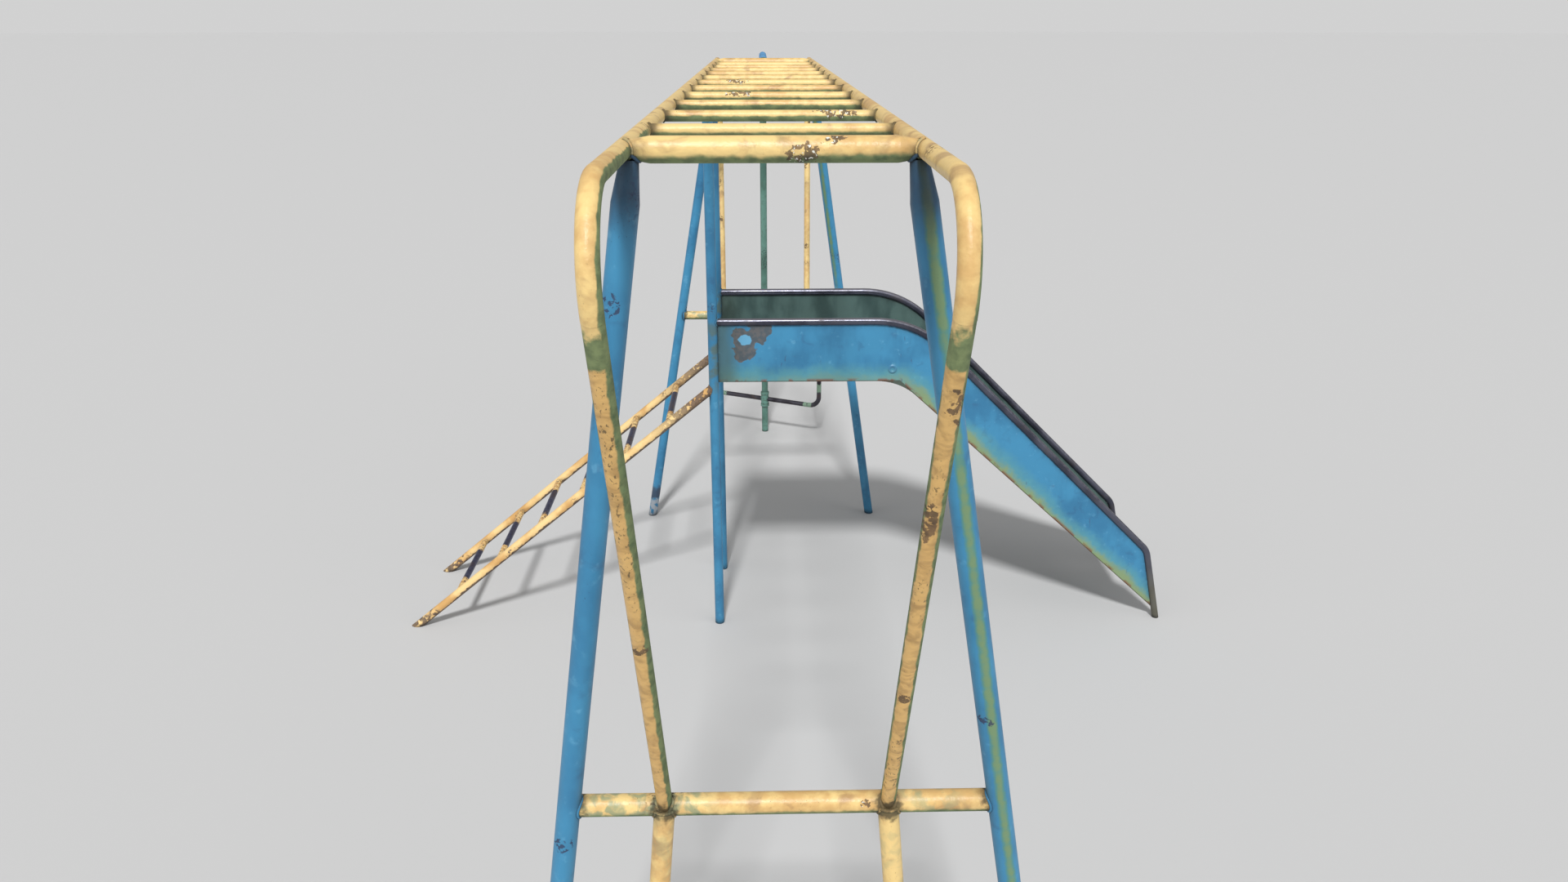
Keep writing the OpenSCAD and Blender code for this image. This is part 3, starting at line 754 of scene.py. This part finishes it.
def stringer_finish(name, seed):
    """Yellow paint that has flaked to brown along the underside and round the foot."""
    f = Finish(name)
    broad = f.noise(7.0, 4.0, shift=seed)
    fine = f.noise(60.0, 5.0, shift=seed + 1)
    colour = f.fade((238, 204, 142), (205, 160, 98), broad, 0.44, 0.62)
    under = f.ragged(f.facing((-0.2, -0.3, 0.9)), (fine, 1.1), (broad, 1.1))
    worn = f.step(under, 0.02, -0.12)
    low = f.ragged(f.z, (fine, 0.12))
    low = f.times(f.step(low, *FOOT_WEAR), f.step(f.noise(50.0, 4.0, shift=seed + 8), 0.44, 0.52))
    top = f.times(f.step(f.z, *TOP_WEAR), f.step(fine, 0.36, 0.48))
    bare = f.either(worn, low, top)
    brown = f.fade((66, 56, 58), (104, 86, 74), fine, 0.42, 0.58)
    colour = f.mix(colour, brown, f.times(bare, 0.9))
    flaked = chips(f, seed + 5, 0.57, 120.0)
    colour = f.coat(colour, (74, 58, 56), flaked, 0.9)
    # Painted shade in crevices.
    crevice_shade = f.crevice(0.03)
    colour = f.coat(colour, (54, 44, 38), crevice_shade, 0.8)
    rough = f.plus(0.42, f.times(f.either(bare, flaked, crevice_shade), 0.3))
    heights = [
        (f.times(f.either(bare, flaked), -1.0), FLAKE_DEPTH),
        (f.noise(240.0, 2.0, shift=seed), 0.0003),
    ]
    return f.finish(colour, rough, 0.0, heights)


RUN_HALF = (0.19, 0.12)  # half width of the bright run: it fades out between these


def bed_finish(name, seed):
    """Sheet steel of the sliding surface, brushed bright along the run."""
    f = Finish(name)
    brush = f.noise(60.0, 3.0, stretch=(0.05, 1, 0.05), shift=seed)
    broad = f.noise(6.0, 4.0, shift=seed + 1)
    fine = f.noise(120.0, 3.0, shift=seed + 2)
    out = f.ragged(f.gap(f.y, SLIDE_MIDDLE), (broad, 0.10))
    run = f.times(f.step(out, *RUN_HALF), f.step(f.facing((0, 0, 1)), 0.2, 0.5))
    painted = f.fade((56, 96, 100), (40, 70, 72), broad, 0.42, 0.62)
    steel = f.fade((172, 174, 178), (142, 144, 149), brush, 0.34, 0.70)
    colour = f.mix(painted, steel, run)
    rust = f.times(f.step(f.noise(18.0, 5.0, shift=seed + 4), 0.60, 0.72), 0.5)
    colour = f.mix(colour, paint(112, 74, 52), rust)
    # Painted shade in crevices.
    crevice_shade = f.crevice(0.025)
    colour = f.coat(colour, (38, 40, 38), crevice_shade, 0.8)
    rough = f.plus(0.34, f.times(f.either(rust, crevice_shade), 0.35), f.times(brush, 0.12))
    heights = [(brush, 0.0002), (fine, 0.0001), (f.noise(5.0, 1.0, shift=seed), 0.008)]
    return f.finish(colour, rough, f.times(run, 0.4), heights)


def dress(names, material):
    """Gives nodes a material in place of their own."""
    for name in names:
        slots = nodes[name].data.materials
        slots.clear()
        slots.append(material)


# ---- weld beads ----

SMALL_BEAD = 0.0022      # radius of a bead round a thin tube
BEAD = 0.0026            # usual radius of a bead
LEG_BEAD = 0.0028        # radius of a bead on a leg top or a stringer
BIG_BEAD = 0.0030        # radius of a bead on the bars of the end frames
RIPPLE = 0.0045          # distance from one ripple of a bead to the next
RIPPLE_SWELL = 0.13      # how much a bead swells at each ripple, as a share of its radius
WAVE_SWELL = 0.05        # the same for the three slow waves round each bead
UNEVEN = 0.04            # the same for its random unevenness
POINT_GAP = 0.0011       # distance between points along a bead
BEAD_SIDES = 8
LINE_POINTS = 72         # points on a closed weld line before it is respaced

BAR_END_R = RAIL_R * 0.97        # weld line round the narrowed ends of a top bar
LEG_TOP_R = RAIL_R * 1.02        # weld line round the swaged top of a leg
BAR_OVER_LEG_R = RAIL_R * 1.1    # the top bar where a leg meets it


def around(side, up, count=LINE_POINTS):
    """Evenly spaced unit vectors of one full turn, which starts at side and goes towards up."""
    turns = np.linspace(0, 2 * math.pi, count, endpoint=False)
    return [math.cos(turn) * side + math.sin(turn) * up for turn in turns]


def meeting(centre, along, radius, other, other_along, other_radius, limit=math.inf):
    """Closed line where a tube heading along first meets another tube, at most limit away."""
    along = np.array(along, float) / np.linalg.norm(along)
    axis = np.array(other_along, float) / np.linalg.norm(other_along)
    side, up = crosswise(along)
    flat = along - (along @ axis) * axis
    line = []
    for out in around(side, up):
        start = np.array(centre) + radius * out
        gap = start - np.array(other)
        gap = gap - (gap @ axis) * axis
        a, b, c = flat @ flat, 2 * gap @ flat, gap @ gap - other_radius ** 2
        reach = (-b - math.sqrt(max(0.0, b * b - 4 * a * c))) / (2 * a)
        line.append(start + min(reach, limit) * along)
    return np.array(line)


def circle(centre, along, radius):
    """Closed line round an axis."""
    side, up = crosswise(np.array(along, float))
    return np.array([np.array(centre) + radius * out for out in around(side, up)])


def respaced(line):
    """The same closed line with evenly spaced points, and its length."""
    closed = np.vstack([line, line[:1]])
    along = np.concatenate([[0], np.cumsum(np.linalg.norm(np.diff(closed, axis=0), axis=1))])
    count = max(24, int(along[-1] / POINT_GAP))
    marks = np.linspace(0, along[-1], count, endpoint=False)
    return np.stack([np.interp(marks, along, closed[:, i]) for i in range(3)], axis=1), along[-1]


class Beads:
    """Collects weld beads into one mesh piece."""

    def __init__(self, seed):
        self.points, self.faces = [], []
        self.random = np.random.default_rng(seed)

    def add(self, line, size=BEAD):
        """Lays a rippled bead of a given radius along a closed line."""
        line, length = respaced(line)
        count = len(line)
        ahead = np.roll(line, -1, axis=0) - np.roll(line, 1, axis=0)
        ahead /= np.linalg.norm(ahead, axis=1)[:, None]
        out = line - line.mean(0)
        out -= (out * ahead).sum(1)[:, None] * ahead
        out /= np.linalg.norm(out, axis=1)[:, None]
        up = np.cross(ahead, out)
        ripples = max(3, round(length / RIPPLE))
        phase = np.arange(count) / count
        saw = (phase * ripples + self.random.random()) % 1.0
        swell = 1 + RIPPLE_SWELL * np.abs(np.sin(math.pi * saw))
        swell += WAVE_SWELL * np.sin(2 * math.pi * phase * 3)
        swell *= 1 + UNEVEN * self.random.standard_normal(count)
        first = len(self.points)
        for i in range(count):
            for way in around(out[i], up[i], BEAD_SIDES):
                self.points.append(line[i] + size * swell[i] * way)
        here = first + np.arange(count * BEAD_SIDES).reshape(count, BEAD_SIDES)
        beside = np.roll(here, -1, axis=1)
        corners = [here, beside, np.roll(beside, -1, axis=0), np.roll(here, -1, axis=0)]
        self.faces += np.stack(corners, axis=2).reshape(-1, 4).tolist()

    def piece(self, name, material, body):
        """Makes the beads a piece that rides on a body."""
        mesh = bpy.data.meshes.new(name)
        mesh.from_pydata([tuple(p) for p in self.points], [], self.faces)
        mesh.validate()
        mesh.polygons.foreach_set("use_smooth", [True] * len(mesh.polygons))
        mesh.materials.append(material)
        obj = bpy.data.objects.new(name, mesh)
        bpy.context.scene.collection.objects.link(obj)
        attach(obj, body)


def ladder_welds(material):
    """Rungs to rails."""
    beads = Beads(11)
    for name in RUNG_NAMES:
        centre = middle(name)
        for side in SIDES.values():
            rail = (CENTRE_X + side * RAIL_HALF, centre.y, RAIL_Z)
            line = meeting(centre, (side, 0, 0), half(name).z, rail, (0, 1, 0), RAIL_R)
            beads.add(line, SMALL_BEAD)
    beads.piece("ladder_welds", material, "frame")


def loop_shoulder(word, y):
    """Middle of the straight length of a rail's loop, below its bend."""
    points = points_of(f"rail_{word}")
    here = points[np.abs(points[:, 1] - y) < 0.5]
    return here[(here[:, 2] > LOW_Z + 0.5) & (here[:, 2] < RAIL_Z - 0.13)].mean(0)


def end_frame_welds(end, material, leg_material):
    """Top bar, low bar, legs, inner legs and loops of one end frame."""
    y = NEAR_Y if end == "near" else FAR_Y
    beads = Beads(21 if end == "near" else 22)
    leg_beads = Beads(23 if end == "near" else 24)
    low = middle(f"{end}_low_bar")
    low_half = half(f"{end}_low_bar")
    top = (CENTRE_X, y, RAIL_Z)
    for word, side in SIDES.items():
        rail = (CENTRE_X + side * RAIL_HALF, y, RAIL_Z)
        beads.add(meeting(top, (side, 0, 0), BAR_END_R, rail, (0, 1, 0), RAIL_R), BIG_BEAD)
        centre, along, radius = tube(f"{end}_leg_{word}", (0, 0, 1))
        leg_beads.add(meeting(centre, along, LEG_TOP_R, top, (1, 0, 0), BAR_OVER_LEG_R), LEG_BEAD)
        line = meeting(low, (side, 0, 0), low_half.z, centre, along, radius, low_half.x)
        leg_beads.add(line, BIG_BEAD)
        shoulder = loop_shoulder(word, y)
        way = np.array(loop_foot(word, y)) - shoulder
        beads.add(meeting(shoulder, way, RAIL_R, low, (1, 0, 0), low_half.z), BIG_BEAD)
        if end == "near":
            centre, along, radius = tube(f"near_inner_leg_{word}", (0, 0, 1))
            beads.add(meeting(centre, along, radius, low, (1, 0, 0), low_half.z), BIG_BEAD)
    beads.piece(f"{end}_frame_welds", material, "frame")
    leg_beads.piece(f"{end}_leg_welds", leg_material, "frame")


def access_welds(material):
    """Stringers to posts, and steps to stringers."""
    beads = Beads(31)
    for word, y in SLIDE_Y.items():
        centre, along, radius = tube(f"stringer_{word}", (1, 0, 0))
        post = (POST_X, y, 0)
        beads.add(meeting(centre, along, radius, post, (0, 0, 1), POST_R), LEG_BEAD)
        way = (0, -1 if word == "near" else 1, 0)
        for name in STEP_NAMES:
            beads.add(meeting(middle(name), way, half(name).z, centre, along, radius), SMALL_BEAD)
    beads.piece("access_ladder_welds", material, "frame")


def racetrack(centre, half_length, half_width):
    """Closed line on a level plane round a narrow strip that runs along Y."""
    straight = half_length - half_width
    line = []
    for across, ahead in around(np.array([1, 0]), np.array([0, 1])):
        y = half_width * ahead + (straight if ahead >= 0 else -straight)
        line.append((centre[0] + half_width * across, centre[1] + y, centre[2]))
    return np.array(line)


POST_SEAM_OUT = 0.001    # how far the weld line on a post's top stands outside the rail
TIE_SEAM_OUT = 0.0006    # the same round the ends of the ties
RING_SEAM_OUT = 0.0008   # the same round the pole at its collars


def slide_welds(material):
    """Posts to the rail, handrails to posts, and ties to side sheets."""
    beads = Beads(41)
    for word, y in SLIDE_Y.items():
        post_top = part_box(f"post_{word}")[1].z
        grip = math.sqrt(max(1e-8, RAIL_R ** 2 - (RAIL_Z - post_top) ** 2))
        rail_x = CENTRE_X - RAIL_HALF
        beads.add(racetrack((rail_x, y, post_top), POST_R, grip + POST_SEAM_OUT))
        start = (POST_X + 0.2, y, SLIDE_TOP_Z)
        beads.add(meeting(start, (-1, 0, 0), HANDRAIL_R, (POST_X, y, 0), (0, 0, 1), POST_R))
        sheet = middle(f"slide_side_{word}")
        inner = sheet.y + (1 if word == "near" else -1) * half(f"slide_side_{word}").y
        for name in TIE_NAMES:
            tie = middle(name)
            beads.add(circle((tie.x, inner, tie.z), (0, 1, 0), half(name).z + TIE_SEAM_OUT), SMALL_BEAD)
    beads.piece("slide_welds", material, "frame")


def pole_welds(material):
    """Collars to the pole, and its arm to the far top bar."""
    beads = Beads(51)
    low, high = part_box("collar_lower")[0].z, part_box("collar_upper")[1].z
    for z in (low, high):
        beads.add(circle((POLE.x, POLE.y, z), (0, 0, 1), POLE_R + RING_SEAM_OUT), SMALL_BEAD)
    arm = (POLE.x, POLE.y, RAIL_Z)
    top = (CENTRE_X, FAR_Y, RAIL_Z)
    top_r = half("far_top_bar").y
    beads.add(meeting(arm, (0, -1, 0), POLE_R, top, (1, 0, 0), top_r), BIG_BEAD)
    beads.piece("pole_welds", material, "frame")


def turning_bar_welds(material):
    """Both halves of the turning bar to the sleeve. These beads turn with it."""
    beads = Beads(52)
    sleeve_r = half("turning_sleeve").x
    hub = np.array([POLE.x, POLE.y, middle("turning_sleeve").z])
    caps = points_of("handle_caps")
    for word, side in SIDES.items():
        end = caps[(caps[:, 0] - POLE.x) * side > 0].mean(0)
        bar_r = hub[2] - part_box(f"turning_bar_{word}")[0].z
        start = np.array([end[0], end[1], hub[2]])
        beads.add(meeting(start, hub - start, bar_r, hub, (0, 0, 1), sleeve_r))
    beads.piece("turning_bar_welds", material, "turning_bar")


# ---- stage, light and camera ----

FLOOR_RADIUS = 300
FLOOR_Z = -0.001
FLOOR_GREY = 0.55
DOME_STRENGTH = 0.34         # the light that the dome gives
DOME_SEEN = 0.64             # how bright the camera sees it
LAMPS = [                    # name, strength, spread in degrees, turn in degrees
    ("key", 2.8, 7, (40, 0, -4)),
    ("fill_left", 0.35, 50, (60, 0, -60)),
    ("fill_right", 0.45, 50, (60, 0, 55)),
]
CAMERA_LENS = 24.444         # millimetres, on a sensor 36 mm wide
CAMERA_SENSOR = 36
CAMERA_OFFSET = (-0.0211, -1.5405, 0.166)    # from the middle of the near top bar
CAMERA_DIP = 21.4753         # degrees below level
CAMERA_TURN = -1.2812        # degrees about the vertical, away from +Y


def make_floor():
    place = (0, 0, FLOOR_Z)
    bpy.ops.mesh.primitive_circle_add(vertices=128, radius=FLOOR_RADIUS, fill_type="NGON", location=place)
    floor = bpy.context.object
    floor.name = "floor"
    material = bpy.data.materials.new("floor")
    material.use_nodes = True
    surface = material.node_tree.nodes["Principled BSDF"]
    surface.inputs["Base Color"].default_value = (FLOOR_GREY, FLOOR_GREY, FLOOR_GREY, 1)
    surface.inputs["Roughness"].default_value = 0.9
    floor.data.materials.append(material)


def make_world():
    """A dim even dome that looks as pale as the floor where the camera sees it."""
    world = bpy.data.worlds.new("studio")
    world.use_nodes = True
    tree = world.node_tree
    dome = tree.nodes["Background"]
    seen = tree.nodes.new("ShaderNodeBackground")
    for node, strength in ((dome, DOME_STRENGTH), (seen, DOME_SEEN)):
        node.inputs["Color"].default_value = (1.0, 1.0, 1.0, 1)
        node.inputs["Strength"].default_value = strength
    path = tree.nodes.new("ShaderNodeLightPath")
    choose = tree.nodes.new("ShaderNodeMixShader")
    tree.links.new(path.outputs["Is Camera Ray"], choose.inputs[0])
    tree.links.new(dome.outputs[0], choose.inputs[1])
    tree.links.new(seen.outputs[0], choose.inputs[2])
    tree.links.new(choose.outputs[0], tree.nodes["World Output"].inputs["Surface"])
    bpy.context.scene.world = world


def make_light():
    """A soft key from behind the camera, halfway up, and a weak lamp from each side."""
    for name, strength, spread, turn in LAMPS:
        lamp = bpy.data.lights.new(name, "SUN")
        lamp.energy = strength
        lamp.angle = math.radians(spread)
        obj = bpy.data.objects.new(name, lamp)
        obj.rotation_euler = [math.radians(t) for t in turn]
        bpy.context.scene.collection.objects.link(obj)


def make_camera():
    """Stands in front of the near end frame, just above the rails, and looks down along them."""
    camera = bpy.data.objects.new("camera", bpy.data.cameras.new("camera"))
    camera.data.sensor_width = CAMERA_SENSOR
    camera.data.lens = CAMERA_LENS
    camera.location = Vector((CENTRE_X, NEAR_Y, RAIL_Z)) + Vector(CAMERA_OFFSET)
    camera.rotation_euler = (math.radians(90 - CAMERA_DIP), 0, math.radians(CAMERA_TURN))
    bpy.context.scene.collection.objects.link(camera)
    bpy.context.scene.camera = camera


# ---- the object ----

ALONG_X = (0.35, 1, 1)  # stretches a mark along a rung

# Marks: (point, stretch, size). Heights are above the ground.
LOOP_CHIPS = [
    (on_near_frame(RAIL_HALF + 0.004, 1.929), (1, 0, 0.45), 0.012),
    (on_near_frame(RAIL_HALF - 0.012, 1.746), (1, 0, 0.35), 0.011),
    (on_near_frame(RAIL_HALF - 0.014, 1.368), (1, 0, 1), 0.012),
    (on_near_frame(-RAIL_HALF + 0.006, 1.492), (1, 0, 1), 0.012),
]
RUNG_CHIPS = [
    (on_rung("rung_02", 0.125), ALONG_X, 0.014),
    (on_rung("rung_04", -0.070), ALONG_X, 0.011),
    (on_rung("rung_06", -0.085), ALONG_X, 0.010),
]
TOP_BAR_CHIPS = [
    (on_near_frame(0.042, RAIL_Z - 0.004), (0.6, 0.5, 1), 0.014),
    (on_near_frame(0.085, RAIL_Z + 0.016), (0.5, 0.5, 1), 0.007),
]
LOW_BAR_CHIPS = [(on_near_frame(0.160, LOW_Z + 0.01), (1, 0.5, 1), 0.010)]
LEFT_LEG_SCUFFS = [
    (on_tube("near_leg_left", 0.987), (0.7, 0.5, 1), 0.014),
    (on_tube("near_leg_left", 1.980, -0.008), (0.7, 0.5, 0.5), 0.012),
]
RIGHT_LEG_SCUFFS = [(on_tube("near_leg_right", 1.245, -0.012), (0.7, 0.5, 1.4), 0.012)]
LOOP_FEET = [loop_foot(word, y) for word in SIDES for y in (NEAR_Y, FAR_Y)]
BAR_ENDS = [
    middle(f"{end}_low_bar") + Vector((side * half(f"{end}_low_bar").x, 0, 0))
    for end in ("near", "far")
    for side in SIDES.values()
]

dress(["rail_left", "rail_right"], rail_finish("rails", 1.0, LOOP_CHIPS))
rung_material = rung_finish("rungs", 2.0, RUNG_CHIPS)
dress(RUNG_NAMES, rung_material)
dress(["near_top_bar", "far_top_bar"], bar_finish("top_bars", 3.4, 0.1, TOP_BAR_CHIPS))
low_bar_material = bar_finish("low_bars", 3.9, 0.8, LOW_BAR_CHIPS, LOOP_FEET + BAR_ENDS)
dress(["near_low_bar", "far_low_bar"], low_bar_material)
inner_leg_material = bar_finish("inner_legs", 4.1, 0.25, joints=LOOP_FEET)
dress(["near_inner_leg_left", "near_inner_leg_right"], inner_leg_material)

left_leg_material = blue_finish("near_leg_left", 5.0, LEFT_LEG_SCUFFS)
dress(["near_leg_left"], left_leg_material)
right_leg_material = striped_finish(
    "near_leg_right", 6.0, (0.10, -1, 0.05), BELOW_GROUND, RIGHT_LEG_SCUFFS
)
dress(["near_leg_right"], right_leg_material)
dress(["far_leg_left"], bare_foot_finish("far_leg_left", 7.0))
dress(["far_leg_right"], striped_finish("far_leg_right", 8.0, (-0.45, -0.9, 0), FAR_GROWTH_START))
post_material = post_finish("posts", 9.0)
dress(["post_near", "post_far"], post_material)

SIDE_CORNER = Vector((POST_X, SLIDE_Y["near"], SLIDE_TOP_Z))     # near side sheet, at the post
SCAR = SIDE_CORNER + Vector((0.122, 0, -0.066))
DENT = SIDE_CORNER + Vector((0.692, 0, -0.191))
dress(["slide_side_near"], side_finish("slide_side_near", 10.0, 1, SCAR, DENT))
dress(["slide_side_far"], side_finish("slide_side_far", 11.0, -1))
dress(TIE_NAMES, blue_finish("ties", 12.0))
dress(["slide_bed"], bed_finish("slide_bed", 13.0))
dress(["slide_handrail_near", "slide_handrail_far"], handrail_finish("handrails", 14.0))

dress(["stringer_near", "stringer_far"], stringer_finish("stringers", 15.0))
dress(STEP_NAMES, step_finish("steps", 16.0))

POLE_BLUE_DROP = 0.16  # from the rail axes down to the end of the blue on the pole
pole_material = green_finish("pole", 17.0, blue_above=RAIL_Z - POLE_BLUE_DROP)
ring_material = green_finish("rings", 18.0, dirt=0.4)
dress(["pole"], pole_material)
dress(["collar_lower", "collar_upper", "turning_sleeve"], ring_material)
dress(["turning_bar_left", "turning_bar_right", "handle_caps"], turning_finish("turning_bar", 19.0))

ladder_welds(rung_material)
end_frame_welds("near", low_bar_material, left_leg_material)
end_frame_welds("far", low_bar_material, left_leg_material)
access_welds(stringer_finish("access_welds", 20.0))
slide_welds(post_material)
pole_welds(ring_material)
turning_bar_welds(ring_material)

make_floor()
make_world()
make_light()
make_camera()
bpy.context.scene.view_settings.view_transform = "Standard"
